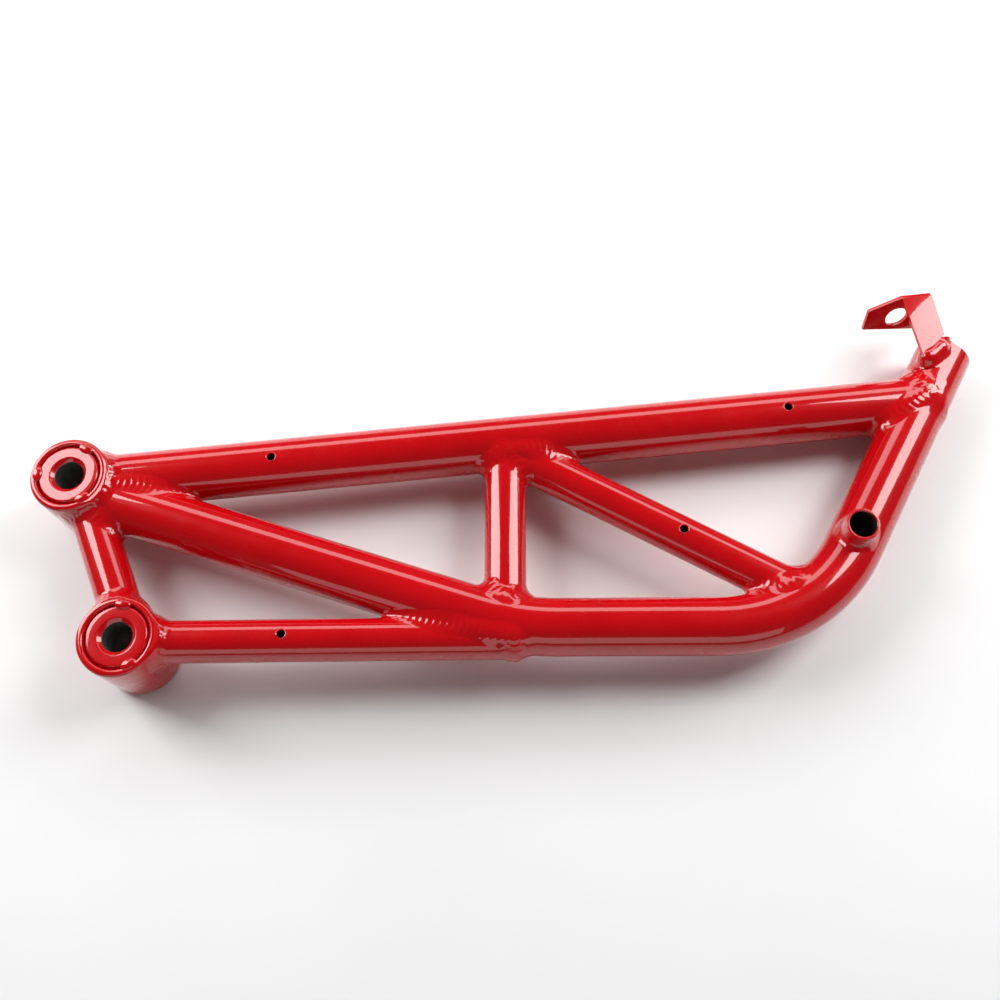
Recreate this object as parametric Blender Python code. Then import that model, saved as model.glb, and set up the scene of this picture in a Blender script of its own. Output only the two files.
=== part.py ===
"""Welded tubular side frame: a trellis of round steel tubes between two bored bosses and a bent main tube.

The frame lies on its side.  Both bosses stand on their rear faces at z = 0, X runs along the frame and
Z points up through the boss bores.  Lengths below are in millimetres and become metres when a mesh is made.
"""
import math
from functools import partial

import bmesh
import bpy
from mathutils import Vector

METRES_PER_MM = 0.001
CENTRING = Vector((0.47, 1.28, 0.0))    # moves the layout below so that its box is centred on the Z axis
WELD_GAP = 0.3                      # clearance left between neighbouring pieces
ROD_TURN = 0.37                     # share of one facet by which solid rods are turned about their axis

# The flat plane that holds every tube axis: height = PLANE_HEIGHT + slopes times x and y.
PLANE_HEIGHT = 22.70
PLANE_SLOPE_X = -0.014
PLANE_SLOPE_Y = -0.055

# Tubes
MAIN_OD = 30.0
MAIN_WALL = 2.0
STRUT_OD = 22.0
STRUT_WALL = 1.6
MAIN_SIDES = 32
STRUT_SIDES = 28

TOP_TUBE_HEIGHT = 23.9              # y of the top tube's axis at x = 0
TOP_TUBE_SLOPE = 0.0982
DOWN_RUN_HEIGHT = -81.62            # y of the main tube's first run at x = 0
DOWN_RUN_SLOPE = -0.3288
LOWER_RUN_Y = -82.0                 # y of the main tube's level run
GENTLE_BEND = (1.2, LOWER_RUN_Y)
GENTLE_BEND_RADIUS = 140.0
BIG_BEND = (153.5, LOWER_RUN_Y)
BIG_BEND_RADIUS = 84.0
UPRIGHT_END = (243.5, 77.0)
LOWER_TUBE_Y = -87.6
LOWER_TUBE_END_X = 0.0
VERTICAL_STRUT_X = -4.5
DIAGONAL_HEIGHT = 16.88             # y of the diagonal strut's axis at x = 0
DIAGONAL_SLOPE = -0.5565
DIAGONAL_END_X = 151.0
END_STRUT_SHIFT = 3.4               # the end strut runs this far beside the lower boss's centre

# Bosses
UPPER_BOSS = (-236.7, -0.2)
LOWER_BOSS = (-199.4, -88.9)
BOSS_OD = 41.6
BOSS_HEIGHT = 44.0
SLEEVE_ID = 33.8
SLEEVE_RIM_ROUND = 2.0
GROOVE_CHAMFER = 1.4
BUSH_OD = 33.2
BUSH_BORE = 15.6
BUSH_LEAD_IN = 19.6                 # diameter of the bore's chamfer at each face
BUSH_INSET = 0.4                    # how far the inner bush's faces lie below the sleeve's
BOSS_SIDES = 44

# Threaded bush, let into the front wall of the upright
THREADED_BUSH_CENTRE = (177.3, -35.2)
THREADED_BUSH_OD = 17.0
THREADED_BUSH_BORE = 13.6
THREADED_BUSH_TOP = 47.0
THREADED_BUSH_FOOT = 13.0
THREADED_BUSH_LIP = 0.8

# Small holes drilled through the front wall of the tubes
HOLE_DIAMETER = 4.8
HOLE_SIDES = 16
DRILL_REACH = 25.0                  # from a tube's axis up through its front wall
TOP_TUBE_HOLES = ((-129.8, 10.4), (149.4, 38.0))
DIAGONAL_HOLES = ((88.8, -32.0),)
LOWER_TUBE_HOLES = ((-116.9, -87.6),)

# Tail bracket: a leg plate welded to the upright's end, with a flange folded down from its far edge
SHEET = 2.2
LEG_CORNERS = ((218.3, 102.6), (235.3, 105.1), (239.2, 80.9), (225.7, 66.4))
LEG_HEIGHT = 53.4                   # the leg's upper face is z = LEG_HEIGHT + slopes times x and y
LEG_SLOPE_X = -0.10
LEG_SLOPE_Y = 0.05
FLANGE_FACE_NORMAL = Vector((0.263, -0.917, 0.296)).normalized()
FLANGE_OUTLINE = ((0.0, 0.0), (-17.8, -7.8), (-17.9, -20.8), (17.0, -24.2), (17.0, 0.0))
FLANGE_HOLE = (0.3, -13.6)
FLANGE_HOLE_DIAMETER = 12.6

# Weld beads
BEAD_SECTION_SIDES = 8
BEAD_STEPS = 28
SEAM_SAMPLES = 56
SEAM_EASING = 3
BEAD_SINK = 1.7                     # how far a bead's core lies under each of the surfaces it joins
MAIN_BEAD = 5.3                     # bead radius where two large tubes meet
STRUT_BEAD = 4.9
SMALL_BEAD = 3.9
BRACKET_BEAD_OFFSET = 2.6           # the bead's core lies this far outside the leg's lower edge
TACK_RADIUS = 2.4
TACK_CIRCLE = 16.6                  # the tacks bridge the groove between sleeve and inner bush
TACK_SINK = 0.6
TACK_SPREAD = (-14.0, -7.0, 0.0, 7.0, 14.0)
UPPER_TACKS = (62.0, 178.0, 305.0)  # directions from the boss's centre, in degrees
LOWER_TACKS = (85.0, 300.0)

RED_PAINT = (0.62, 0.0, 0.006, 1.0)
BARE_STEEL = (0.42, 0.41, 0.40, 1.0)

PLANE_NORMAL = Vector((-PLANE_SLOPE_X, -PLANE_SLOPE_Y, 1.0)).normalized()
UP = Vector((0.0, 0.0, 1.0))


# ---------------------------------------------------------------- places

def on_plane(x, y):
    """The point of the tube plane over (x, y)."""
    return Vector((x, y, PLANE_HEIGHT + PLANE_SLOPE_X * x + PLANE_SLOPE_Y * y))


def rounded_path(start, corners, end, steps):
    """Points along a line that turns each (corner, bend radius) with an arc."""
    points = [start]
    stops = [corner for corner, _ in corners] + [end]
    for index, (corner, radius) in enumerate(corners):
        arriving = (corner - points[-1]).normalized()
        leaving = (stops[index + 1] - corner).normalized()
        turn = arriving.angle(leaving)
        tangent = radius * math.tan(turn / 2)
        centre = corner + (leaving - arriving).normalized() * math.hypot(radius, tangent)
        spoke = corner - arriving * tangent - centre
        ahead = arriving * radius
        for step in range(steps + 1):
            angle = turn * step / steps
            points.append(centre + spoke * math.cos(angle) + ahead * math.sin(angle))
    points.append(end)
    return points


def top_meets_upright():
    """Where the top tube's axis crosses the upright's, in plan."""
    upright_run = (UPRIGHT_END[0] - BIG_BEND[0]) / (UPRIGHT_END[1] - BIG_BEND[1])
    x_at_zero = BIG_BEND[0] - upright_run * BIG_BEND[1]
    y = (TOP_TUBE_HEIGHT + TOP_TUBE_SLOPE * x_at_zero) / (1 - TOP_TUBE_SLOPE * upright_run)
    return x_at_zero + upright_run * y, y


TOP_START = on_plane(UPPER_BOSS[0], TOP_TUBE_HEIGHT + TOP_TUBE_SLOPE * UPPER_BOSS[0])
TOP_END = on_plane(*top_meets_upright())
MAIN_START = on_plane(UPPER_BOSS[0], DOWN_RUN_HEIGHT + DOWN_RUN_SLOPE * UPPER_BOSS[0])
MAIN_PATH = rounded_path(
    MAIN_START,
    [(on_plane(*GENTLE_BEND), GENTLE_BEND_RADIUS)],
    on_plane(*BIG_BEND),
    4,
)[:-1] + rounded_path(
    on_plane(*GENTLE_BEND),
    [(on_plane(*BIG_BEND), BIG_BEND_RADIUS)],
    on_plane(*UPRIGHT_END),
    12,
)[1:]
TOP_PATH = [TOP_START, TOP_END]
LOWER_PATH = [on_plane(*LOWER_BOSS), on_plane(LOWER_TUBE_END_X, LOWER_TUBE_Y)]
VERTICAL_PATH = [
    on_plane(VERTICAL_STRUT_X, LOWER_RUN_Y),
    on_plane(VERTICAL_STRUT_X, TOP_TUBE_HEIGHT + TOP_TUBE_SLOPE * VERTICAL_STRUT_X),
]
DIAGONAL_PATH = [
    on_plane(VERTICAL_STRUT_X, DIAGONAL_HEIGHT + DIAGONAL_SLOPE * VERTICAL_STRUT_X),
    on_plane(DIAGONAL_END_X, DIAGONAL_HEIGHT + DIAGONAL_SLOPE * DIAGONAL_END_X),
]
END_STRUT_PATH = [
    on_plane(LOWER_BOSS[0] + END_STRUT_SHIFT, LOWER_BOSS[1]),
    on_plane(UPPER_BOSS[0] + END_STRUT_SHIFT / 3, UPPER_BOSS[1]),
]


def boss_axis(boss):
    """A boss's vertical axis, running well past both of its faces."""
    return [Vector((boss[0], boss[1], -10.0)), Vector((boss[0], boss[1], BOSS_HEIGHT + 10.0))]


THREADED_BUSH_AXIS = [
    Vector((*THREADED_BUSH_CENTRE, THREADED_BUSH_FOOT - 1.0)),
    Vector((*THREADED_BUSH_CENTRE, THREADED_BUSH_TOP + 5.0)),
]


# ---------------------------------------------------------------- meshes

def make_object(name, vertices, faces):
    """An object from points in millimetres."""
    mesh = bpy.data.meshes.new(name)
    mesh.from_pydata([(point + CENTRING) * METRES_PER_MM for point in vertices], [], faces)
    mesh.update()
    thing = bpy.data.objects.new(name, mesh)
    bpy.context.scene.collection.objects.link(thing)
    return thing


def across(tangent):
    """Two directions square to a tangent, the second one as near the plane's normal as it can be."""
    reference = PLANE_NORMAL if abs(tangent.dot(PLANE_NORMAL)) < 0.9 else Vector((1.0, 0.0, 0.0))
    side = reference.cross(tangent).normalized()
    return side, tangent.cross(side).normalized()


def ring_points(centre, tangent, radius, sides, turned=0.0):
    """Points round a circle, rotated by the given share of one step."""
    side, front = across(tangent)
    angles = [2 * math.pi * (step + turned) / sides for step in range(sides)]
    return [centre + (side * math.cos(a) + front * math.sin(a)) * radius for a in angles]


def tangents_along(path, closed=False):
    count = len(path)
    result = []
    for index in range(count):
        before = path[index - 1] if index or closed else path[index]
        after = path[(index + 1) % count] if index < count - 1 or closed else path[index]
        result.append((after - before).normalized())
    return result


def join_rings(rings, closed):
    """Quads between neighbouring rings of equal length."""
    sides = len(rings[0])
    faces = []
    last = len(rings) if closed else len(rings) - 1
    for ring in range(last):
        here = ring * sides
        there = ((ring + 1) % len(rings)) * sides
        for step in range(sides):
            following = (step + 1) % sides
            faces.append((here + step, here + following, there + following, there + step))
    return faces


def make_rod(name, path, radius, sides):
    """A solid round bar along a path, turned a little so that its edges miss those of the tubes it cuts."""
    rings = [ring_points(p, t, radius, sides, ROD_TURN) for p, t in zip(path, tangents_along(path))]
    faces = join_rings(rings, closed=False)
    total = len(rings) * sides
    faces.append(tuple(reversed(range(sides))))
    faces.append(tuple(range(total - sides, total)))
    return finish_mesh(make_object(name, [p for ring in rings for p in ring], faces))


def make_pipe(name, path, outer, inner, sides):
    """A hollow tube along a path, open at both ends."""
    tangents = tangents_along(path)
    outside = [ring_points(p, t, outer, sides) for p, t in zip(path, tangents)]
    inside = [ring_points(p, t, inner, sides) for p, t in zip(path, tangents)]
    rings = outside + list(reversed(inside))
    return finish_mesh(make_object(name, [p for ring in rings for p in ring], join_rings(rings, closed=True)))


def make_turned(name, centre, profile, sides):
    """A ring-shaped solid turned about a vertical axis from a closed (radius, height) profile."""
    rings = []
    for radius, height in profile:
        middle = Vector((centre[0], centre[1], height))
        rings.append(ring_points(middle, UP, radius, sides))
    return finish_mesh(make_object(name, [p for ring in rings for p in ring], join_rings(rings, closed=True)))


def make_plate(name, outline, towards_back):
    """A flat plate from its front outline and the vector to its back face."""
    count = len(outline)
    vertices = list(outline) + [corner + towards_back for corner in outline]
    faces = [tuple(range(count)), tuple(reversed(range(count, 2 * count)))]
    for index in range(count):
        following = (index + 1) % count
        faces.append((index, count + index, count + following, following))
    return finish_mesh(make_object(name, vertices, faces))


def finish_mesh(thing):
    """Turn every face outwards."""
    work = bmesh.new()
    work.from_mesh(thing.data)
    bmesh.ops.recalc_face_normals(work, faces=work.faces)
    work.to_mesh(thing.data)
    work.free()
    return thing


def combine(thing, tool, operation, solver="EXACT"):
    """Apply a Boolean and throw the tool away."""
    modifier = thing.modifiers.new("combine", "BOOLEAN")
    modifier.operation = operation
    modifier.solver = solver
    modifier.object = tool
    bpy.context.view_layer.objects.active = thing
    bpy.ops.object.modifier_apply(modifier=modifier.name)
    bpy.data.objects.remove(tool)
    return thing


def cut(thing, *tools, solver="EXACT"):
    for tool in tools:
        combine(thing, tool, "DIFFERENCE", solver)
    return thing


def keep_largest_piece(thing):
    """Drop the crumbs that a cut may leave beside the main solid."""
    work = bmesh.new()
    work.from_mesh(thing.data)
    bmesh.ops.remove_doubles(work, verts=work.verts, dist=2e-6)
    bmesh.ops.dissolve_degenerate(work, edges=work.edges, dist=2e-6)
    unseen = set(work.faces)
    pieces = []
    while unseen:
        stack = [unseen.pop()]
        piece = set(stack)
        while stack:
            neighbours = {face for edge in stack.pop().edges for face in edge.link_faces} & unseen
            unseen -= neighbours
            piece |= neighbours
            stack.extend(neighbours)
        pieces.append(piece)
    largest = max(pieces, key=lambda piece: sum(face.calc_area() for face in piece))
    crumbs = [face for face in work.faces if face not in largest]
    bmesh.ops.delete(work, geom=crumbs, context="FACES")
    work.to_mesh(thing.data)
    work.free()
    return thing


# ---------------------------------------------------------------- cutters that leave the weld gap

def grown_main():
    return make_rod("cutter", MAIN_PATH, MAIN_OD / 2 + WELD_GAP, MAIN_SIDES)


def grown_top():
    return make_rod("cutter", TOP_PATH, MAIN_OD / 2 + WELD_GAP, MAIN_SIDES)


def grown_strut(path):
    return make_rod("cutter", path, STRUT_OD / 2 + WELD_GAP, STRUT_SIDES)


def grown_boss(boss):
    return make_rod("cutter", boss_axis(boss), BOSS_OD / 2 + WELD_GAP, BOSS_SIDES)


def grown_threaded_bush():
    return make_rod("cutter", THREADED_BUSH_AXIS, THREADED_BUSH_OD / 2 + WELD_GAP, 32)


def drill(spot):
    """A cutter for a small hole through the front wall over a place on a tube's axis."""
    foot = on_plane(*spot)
    return make_rod("cutter", [foot, foot + UP * DRILL_REACH], HOLE_DIAMETER / 2, HOLE_SIDES)


# ---------------------------------------------------------------- tubes

def build_tubes():
    main_inner = MAIN_OD / 2 - MAIN_WALL
    strut_inner = STRUT_OD / 2 - STRUT_WALL

    top = make_pipe("top_tube", TOP_PATH, MAIN_OD / 2, main_inner, MAIN_SIDES)
    cut(top, grown_boss(UPPER_BOSS), grown_main_upright(), *[drill(s) for s in TOP_TUBE_HOLES])

    main = make_pipe("main_tube", MAIN_PATH, MAIN_OD / 2, main_inner, MAIN_SIDES)
    cut(main, grown_boss(UPPER_BOSS), grown_top_near_boss(), grown_threaded_bush())

    lower = make_pipe("lower_tube", LOWER_PATH, STRUT_OD / 2, strut_inner, STRUT_SIDES)
    cut(lower, grown_boss(LOWER_BOSS), grown_main(), *[drill(s) for s in LOWER_TUBE_HOLES])

    vertical = make_pipe("vertical_strut", VERTICAL_PATH, STRUT_OD / 2, strut_inner, STRUT_SIDES)
    cut(vertical, grown_top(), grown_main())

    diagonal = make_pipe("diagonal_strut", DIAGONAL_PATH, STRUT_OD / 2, strut_inner, STRUT_SIDES)
    cut(diagonal, grown_top(), grown_strut(VERTICAL_PATH), grown_main(), *[drill(s) for s in DIAGONAL_HOLES])

    end = make_pipe("end_strut", END_STRUT_PATH, STRUT_OD / 2, strut_inner, STRUT_SIDES)
    cut(end, grown_boss(UPPER_BOSS), grown_boss(LOWER_BOSS), grown_main())

    tubes = [top, main, lower, vertical, diagonal, end]
    for tube in tubes:
        keep_largest_piece(tube)
    return tubes


def grown_main_upright():
    """Only the upright half of the main tube, which is what the top tube's right end meets."""
    return make_rod("cutter", MAIN_PATH[-8:], MAIN_OD / 2 + WELD_GAP, MAIN_SIDES)


def grown_top_near_boss():
    """Only the left end of the top tube, which is what the main tube's start meets."""
    left = TOP_START.lerp(TOP_END, -0.03)
    right = TOP_START.lerp(TOP_END, 0.35)
    return make_rod("cutter", [left, right], MAIN_OD / 2 + WELD_GAP, MAIN_SIDES)


# ---------------------------------------------------------------- bosses and bushes

def sleeve_profile():
    """Rounded outer rims, and a chamfer at the bore that makes half of the ring groove."""
    outer = BOSS_OD / 2
    inner = SLEEVE_ID / 2
    top = BOSS_HEIGHT
    corner = SLEEVE_RIM_ROUND
    half = corner * (1 - math.cos(math.pi / 4))
    upper = [
        (inner, top - GROOVE_CHAMFER),
        (inner + GROOVE_CHAMFER * 0.6, top),
        (outer - corner, top),
        (outer - half, top - half),
        (outer, top - corner),
    ]
    lower = [(radius, BOSS_HEIGHT - height) for radius, height in reversed(upper)]
    return upper + lower


def inner_bush_profile():
    outer = BUSH_OD / 2
    bore = BUSH_BORE / 2
    lead_in = BUSH_LEAD_IN / 2
    top = BOSS_HEIGHT - BUSH_INSET
    upper = [
        (bore, top - (lead_in - bore)),
        (lead_in, top),
        (outer - GROOVE_CHAMFER, top),
        (outer, top - GROOVE_CHAMFER),
    ]
    lower = [(radius, BOSS_HEIGHT - height) for radius, height in reversed(upper)]
    return upper + lower


def threaded_bush_profile():
    outer = THREADED_BUSH_OD / 2
    bore = THREADED_BUSH_BORE / 2
    lip = THREADED_BUSH_LIP
    return [
        (bore, THREADED_BUSH_FOOT),
        (bore, THREADED_BUSH_TOP - lip * 0.4),
        (bore + lip * 0.4, THREADED_BUSH_TOP),
        (outer - lip * 0.4, THREADED_BUSH_TOP),
        (outer, THREADED_BUSH_TOP - lip),
        (outer, THREADED_BUSH_FOOT),
    ]


def build_bosses():
    pieces = []
    for label, boss in (("upper", UPPER_BOSS), ("lower", LOWER_BOSS)):
        pieces.append(make_turned(f"{label}_boss_sleeve", boss, sleeve_profile(), BOSS_SIDES))
        pieces.append(make_turned(f"{label}_boss_bush", boss, inner_bush_profile(), BOSS_SIDES))
    bush = make_turned("threaded_bush", THREADED_BUSH_CENTRE, threaded_bush_profile(), 32)
    return pieces, bush


# ---------------------------------------------------------------- tail bracket

def on_leg(x, y):
    return Vector((x, y, LEG_HEIGHT + LEG_SLOPE_X * x + LEG_SLOPE_Y * y))


def make_bracket(name, extra):
    """The folded sheet, or with extra over 0 a thicker one that clears it all round."""
    leg = [on_leg(*corner) for corner in LEG_CORNERS]
    leg_normal = Vector((-LEG_SLOPE_X, -LEG_SLOPE_Y, 1.0)).normalized()
    middle = sum(leg, Vector()) / len(leg)
    grown_leg = [corner + (corner - middle).normalized() * extra + leg_normal * extra for corner in leg]
    plate = make_plate(name, grown_leg, leg_normal * -(SHEET + 2 * extra))
    fold = (leg[1] - leg[0]).normalized()
    down = FLANGE_FACE_NORMAL.cross(fold).normalized()
    down = down if down.z < 0 else -down
    back = fold.cross(down).normalized()
    back = back if back.y > 0 else -back
    start = leg[0] - leg_normal * 0.4
    outline = [start + fold * along - down * rise for along, rise in FLANGE_OUTLINE]
    combine(plate, make_plate("flange", outline, back * SHEET), "UNION")
    centre = start + fold * FLANGE_HOLE[0] - down * FLANGE_HOLE[1]
    bolt_hole = make_rod("cutter", [centre - back * 8, centre + back * 8], FLANGE_HOLE_DIAMETER / 2, 28)
    return cut(plate, bolt_hole)


def build_bracket():
    bracket = make_bracket("tail_bracket", 0.0)
    cut(bracket, grown_main())
    return keep_largest_piece(bracket)


# ---------------------------------------------------------------- weld beads

def offset_from_path(point, path):
    """The shortest vector to a point from a path."""
    offsets = []
    for start, end in zip(path, path[1:]):
        span = end - start
        share = max(0.0, min(1.0, (point - start).dot(span) / span.length_squared))
        offsets.append(point - start - span * share)
    return min(offsets, key=lambda offset: offset.length)


def seam(far, joint, radius, neighbours):
    """The closed line where a tube, followed from far towards its joint, first meets its neighbours.

    The line is sunk a little under both surfaces, so that a bead laid along it is not too proud.
    """
    travel = (joint - far).length
    ahead = (joint - far).normalized()
    points = []
    for start in ring_points(far, ahead, radius, SEAM_SAMPLES):
        reach = 0.0
        while reach < travel and nearest_surface(start + ahead * reach, neighbours)[0] > 0:
            reach += 0.25
        point = start + ahead * reach
        normals = (start - far).normalized() + nearest_surface(point, neighbours)[1]
        points.append(point - normals * BEAD_SINK)
    return points


def nearest_surface(point, neighbours):
    """How far a point is outside the nearest neighbour, and that neighbour's outward direction."""
    found = []
    for path, radius in neighbours:
        offset = offset_from_path(point, path)
        found.append((offset.length - radius, offset.normalized()))
    return min(found, key=lambda pair: pair[0])


def even_loop(points):
    """A closed line's corners eased, with its points spread evenly along it."""
    for _ in range(SEAM_EASING):
        count = len(points)
        points = [(points[i - 1] + points[i] * 2 + points[(i + 1) % count]) / 4 for i in range(count)]
    ring = points + [points[0]]
    travelled = [0.0]
    for start, end in zip(ring, ring[1:]):
        travelled.append(travelled[-1] + (end - start).length)
    even = []
    leg = 0
    for step in range(BEAD_STEPS):
        target = travelled[-1] * step / BEAD_STEPS
        while travelled[leg + 1] < target:
            leg += 1
        share = (target - travelled[leg]) / (travelled[leg + 1] - travelled[leg])
        even.append(ring[leg].lerp(ring[leg + 1], share))
    return even


def make_bead(name, line, radius, closed):
    """A round bar along a line; a closed line gives a ring."""
    tangents = tangents_along(line, closed)
    middle = sum(line, Vector()) / len(line)
    rings = []
    for point, tangent in zip(line, tangents):
        outward = point - middle
        outward = (outward - tangent * outward.dot(tangent)).normalized()
        upward = tangent.cross(outward)
        angles = [2 * math.pi * step / BEAD_SECTION_SIDES for step in range(BEAD_SECTION_SIDES)]
        rings.append([point + (outward * math.cos(a) + upward * math.sin(a)) * radius for a in angles])
    faces = join_rings(rings, closed)
    if not closed:
        total = len(rings) * BEAD_SECTION_SIDES
        faces.append(tuple(reversed(range(BEAD_SECTION_SIDES))))
        faces.append(tuple(range(total - BEAD_SECTION_SIDES, total)))
    return finish_mesh(make_object(name, [p for ring in rings for p in ring], faces))


def joint_lines():
    """Every tube joint: bead name, seam line, bead radius and the cutters that trim the bead."""
    large = MAIN_OD / 2
    small = STRUT_OD / 2
    boss_radius = BOSS_OD / 2
    main = (MAIN_PATH, large)
    top = (TOP_PATH, large)
    vertical = (VERTICAL_PATH, small)
    upper = (boss_axis(UPPER_BOSS), boss_radius)
    lower = (boss_axis(LOWER_BOSS), boss_radius)
    end_middle = END_STRUT_PATH[0].lerp(END_STRUT_PATH[1], 0.5)
    vertical_middle = VERTICAL_PATH[0].lerp(VERTICAL_PATH[1], 0.5)
    diagonal_middle = DIAGONAL_PATH[0].lerp(DIAGONAL_PATH[1], 0.5)
    lower_middle = LOWER_PATH[0].lerp(LOWER_PATH[1], 0.5)
    upper_boss_cut = partial(grown_boss, UPPER_BOSS)
    lower_boss_cut = partial(grown_boss, LOWER_BOSS)
    end_cut = partial(grown_strut, END_STRUT_PATH)
    lower_cut = partial(grown_strut, LOWER_PATH)
    vertical_cut = partial(grown_strut, VERTICAL_PATH)
    diagonal_cut = partial(grown_strut, DIAGONAL_PATH)
    return (
        ("weld_end_strut_to_upper_boss", seam(end_middle, END_STRUT_PATH[1], small, [upper, main]),
         STRUT_BEAD, (upper_boss_cut, grown_main, end_cut)),
        ("weld_top_tube_to_upper_boss", seam(TOP_PATH[0].lerp(TOP_PATH[1], 0.3), TOP_PATH[0], large, [upper]),
         MAIN_BEAD, (upper_boss_cut, grown_top, grown_main)),
        ("weld_main_tube_to_upper_boss", seam(MAIN_PATH[0].lerp(MAIN_PATH[1], 0.6), MAIN_PATH[0], large,
                                              [upper, top]),
         MAIN_BEAD, (upper_boss_cut, grown_top, grown_main, end_cut)),
        ("weld_end_strut_to_lower_boss", seam(end_middle, END_STRUT_PATH[0], small, [lower]),
         STRUT_BEAD, (lower_boss_cut, end_cut)),
        ("weld_lower_tube_to_lower_boss", seam(lower_middle, LOWER_PATH[0], small, [lower]),
         STRUT_BEAD, (lower_boss_cut, lower_cut)),
        ("weld_lower_tube_to_main_tube", seam(lower_middle, LOWER_PATH[1], small, [main]),
         STRUT_BEAD, (grown_main, lower_cut)),
        ("weld_vertical_strut_to_top_tube", seam(vertical_middle, VERTICAL_PATH[1], small, [top]),
         STRUT_BEAD, (grown_top, vertical_cut, diagonal_cut)),
        ("weld_vertical_strut_to_main_tube", seam(vertical_middle, VERTICAL_PATH[0], small, [main]),
         STRUT_BEAD, (grown_main, vertical_cut)),
        ("weld_diagonal_strut_to_top_tube", seam(diagonal_middle, DIAGONAL_PATH[0], small, [top, vertical]),
         STRUT_BEAD, (grown_top, vertical_cut, diagonal_cut)),
        ("weld_diagonal_strut_to_main_tube", seam(diagonal_middle, DIAGONAL_PATH[1], small, [main]),
         STRUT_BEAD, (grown_main, diagonal_cut)),
        ("weld_top_tube_to_upright", seam(TOP_PATH[0].lerp(TOP_PATH[1], 0.8), TOP_PATH[1], large, [main]),
         MAIN_BEAD, (grown_main, grown_top)),
        ("weld_threaded_bush_to_main_tube", seam(THREADED_BUSH_AXIS[1], on_plane(*THREADED_BUSH_CENTRE),
                                                 THREADED_BUSH_OD / 2, [main]),
         SMALL_BEAD, (grown_main, grown_threaded_bush)),
    )


def build_tube_welds():
    """Ring beads at the joints; a later bead gives way to the ones already laid beside it."""
    beads = []
    laid = []
    for name, line, radius, cutters in joint_lines():
        line = even_loop(line)
        bead = make_bead(name, line, radius, closed=True)
        cut(bead, *[cutter() for cutter in cutters], solver="MANIFOLD")
        for other_line, other_radius in laid:
            if loops_are_close(line, other_line, radius + other_radius + WELD_GAP):
                cut(bead, make_bead("cutter", other_line, other_radius + WELD_GAP, closed=True),
                    solver="MANIFOLD")
        laid.append((line, radius))
        beads.append(keep_largest_piece(bead))
    return beads


def loops_are_close(one, other, limit):
    return any((a - b).length < limit for a in one for b in other)


def build_bracket_weld():
    """The bead that runs along the leg's lower edge where it lies on the tube."""
    near = on_leg(*LEG_CORNERS[3]) - UP * SHEET
    far = on_leg(*LEG_CORNERS[2]) - UP * SHEET
    outward = (far - near).cross(UP).normalized() * BRACKET_BEAD_OFFSET
    line = [near.lerp(far, share) + outward for share in (0.05, 0.25, 0.5, 0.75, 1.0)]
    bead = make_bead("weld_bracket_to_upright", line, STRUT_BEAD, closed=False)
    cut(bead, grown_main(), make_bracket("cutter", WELD_GAP))
    return keep_largest_piece(bead)


def tack_line(boss, middle_angle):
    """A short arc over the groove between sleeve and inner bush."""
    line = []
    for offset in TACK_SPREAD:
        angle = math.radians(middle_angle + offset)
        line.append(Vector((
            boss[0] + TACK_CIRCLE * math.cos(angle),
            boss[1] + TACK_CIRCLE * math.sin(angle),
            BOSS_HEIGHT - TACK_SINK,
        )))
    return line


def build_tacks():
    """Short tacks on the boss faces, each trimmed flat just above the face it lies on."""
    tacks = []
    for label, boss, angles in (("upper", UPPER_BOSS, UPPER_TACKS), ("lower", LOWER_BOSS, LOWER_TACKS)):
        face = Vector((*boss, BOSS_HEIGHT + WELD_GAP))
        for number, middle_angle in enumerate(angles, 1):
            name = f"tack_{label}_boss_{number}"
            tack = make_bead(name, tack_line(boss, middle_angle), TACK_RADIUS, closed=False)
            below_face = make_rod("cutter", [face - UP * BOSS_HEIGHT, face], BOSS_OD, BOSS_SIDES)
            tacks.append(cut(tack, below_face))
    return tacks


# ---------------------------------------------------------------- materials

def make_material(name, colour, roughness, metallic):
    material = bpy.data.materials.new(name)
    material.use_nodes = True
    shader = material.node_tree.nodes["Principled BSDF"]
    shader.inputs["Base Color"].default_value = colour
    shader.inputs["Roughness"].default_value = roughness
    shader.inputs["Metallic"].default_value = metallic
    return material


def dress(thing, colour, roughness, metallic):
    """A material of the piece's own, and smooth shading over its round sides."""
    thing.data.materials.clear()
    thing.data.materials.append(make_material(f"{thing.name}_material", colour, roughness, metallic))
    thing.data.shade_smooth()
    thing.data.set_sharp_from_angle(angle=math.radians(35))


def main():
    for thing in list(bpy.data.objects):
        bpy.data.objects.remove(thing)
    tubes = build_tubes()
    boss_parts, threaded = build_bosses()
    painted = tubes + [threaded, build_bracket()]
    painted += build_tube_welds() + [build_bracket_weld()] + build_tacks()
    for thing in boss_parts:
        if thing.name.endswith("sleeve"):
            painted.append(thing)
        else:
            dress(thing, BARE_STEEL, 0.42, 1.0)
    for thing in painted:
        dress(thing, RED_PAINT, 0.14, 0.0)


main()
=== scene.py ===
"""Looks for the welded tubular side frame: gloss red enamel over tubes, bosses and flowing weld beads.

Shapes are worked out in millimetres, in the CAD frame, and become metres when a mesh is made.
"""
import math
from functools import partial

import bmesh
import bpy
import numpy as np
from mathutils import Matrix


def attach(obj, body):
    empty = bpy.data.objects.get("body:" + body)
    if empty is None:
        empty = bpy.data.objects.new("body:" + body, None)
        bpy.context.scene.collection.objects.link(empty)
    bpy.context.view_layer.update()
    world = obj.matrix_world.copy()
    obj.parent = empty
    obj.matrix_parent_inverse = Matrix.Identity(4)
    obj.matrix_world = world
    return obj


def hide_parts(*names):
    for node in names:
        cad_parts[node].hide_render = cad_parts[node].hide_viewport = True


METRES_PER_MM = 0.001
CENTRING = np.array([0.47, 1.28, 0.0])     # moves the layout so that its box is centred on the Z axis

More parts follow.
